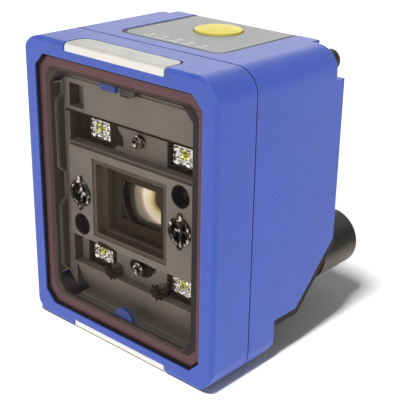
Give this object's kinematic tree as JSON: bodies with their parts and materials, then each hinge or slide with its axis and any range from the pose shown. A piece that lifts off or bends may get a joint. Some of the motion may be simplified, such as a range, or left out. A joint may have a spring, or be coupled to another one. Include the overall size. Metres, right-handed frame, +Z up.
{
  "type": "fixed barcode reader",
  "caption": "Compact fixed barcode reader in a blue cast housing with a large front window, light bars, a yellow top button and swivelling round connectors on a sloping rear face.",
  "frame": {"origin": "middle of the rectangle of mounting holes, in the plane of the flat back", "axes": "+X to the right as seen from in front of the window, +Y from the window to the back, +Z up"},
  "size_m": [0.065, 0.0664, 0.0792],
  "materials": {
    "housing_blue": "fine textured powder coat",
    "window_clear": "clear polished",
    "strip_mauve": "matt adhesive foam",
    "diffuser_white": "translucent satin",
    "seal_black": "matt",
    "screw_black": "black oxide",
    "tray_grey": "fine moulded grain",
    "lens_clear": "clear moulded",
    "chip_yellow": "phosphor",
    "black_plastic": "satin moulded",
    "carrier_dark": "matt moulded",
    "board_green": "solder mask",
    "steel": "turned",
    "barrel_black": "black anodised",
    "chip_dark": "moulded package",
    "pad_soft": "soft filled silicone",
    "panel_grey": "fine grained film",
    "button_yellow": "satin moulded",
    "plate_dark": "dark satin coat",
    "connector_black": "black plated satin",
    "contact_gold": "plated"
  },
  "bodies": {
    "reader": {"front_bezel": "housing_blue", "window_pane": "window_clear", "window_strip": "strip_mauve", "top_light_bar": "diffuser_white", "bottom_light_bar": "diffuser_white", "bar_led_strips": "board_green", "seam_gasket": "seal_black", "rear_housing": "housing_blue", "upper_screws": "screw_black", "lower_screws": "screw_black", "illuminator_tray": "tray_grey", "led_lenses": "lens_clear", "led_chips": "chip_yellow", "aimers": "black_plastic", "spot_lights": "diffuser_white", "aperture_frame": "carrier_dark", "led_board": "board_green", "tray_screws": "steel", "push_nuts": "screw_black", "optics_carrier": "carrier_dark", "lens_barrel": "barrel_black", "lens_glass": "lens_clear", "lens_ring": "steel", "image_sensor": "chip_dark", "sensor_board": "board_green", "front_spacers": "steel", "rear_spacers": "steel", "processor_board": "board_green", "processor": "chip_dark", "thermal_pad": "pad_soft", "stack_screws": "steel", "key_panel": "panel_grey", "key_switch": "black_plastic", "key_board": "board_green", "status_chips": "diffuser_white", "status_pipes": "lens_clear", "board_screws": "steel", "connector_panel": "plate_dark", "panel_screws": "steel", "interface_board": "board_green"},
    "button": {"push_button": "button_yellow", "button_clip": "steel", "switch_plunger": "black_plastic"},
    "swivel_right": {"elbow_right": "connector_black", "sleeve_right": "connector_black", "insert_right": "black_plastic", "contacts_right": "contact_gold", "seal_right": "seal_black", "clip_right": "steel"},
    "swivel_left": {"elbow_left": "connector_black", "sleeve_left": "connector_black", "insert_left": "black_plastic", "contacts_left": "contact_gold", "seal_left": "seal_black", "clip_left": "steel"}
  },
  "joints": [
    {"name": "button_press", "type": "slide", "parent": "reader", "child": "button", "axis": [0, 0, 1], "range_m": [-0.0008, 0], "stiffness_N_per_m": 2500},
    {"name": "swivel_right_turn", "type": "hinge", "parent": "reader", "child": "swivel_right", "pos_m": [0.0205, -0.00628, -0.03452], "axis": [0, 0.7071, -0.7071], "range_deg": [0, 180]},
    {"name": "swivel_left_turn", "type": "hinge", "parent": "reader", "child": "swivel_left", "pos_m": [-0.0205, -0.00628, -0.03452], "axis": [0, -0.7071, 0.7071], "range_deg": [0, 180]}
  ]
}
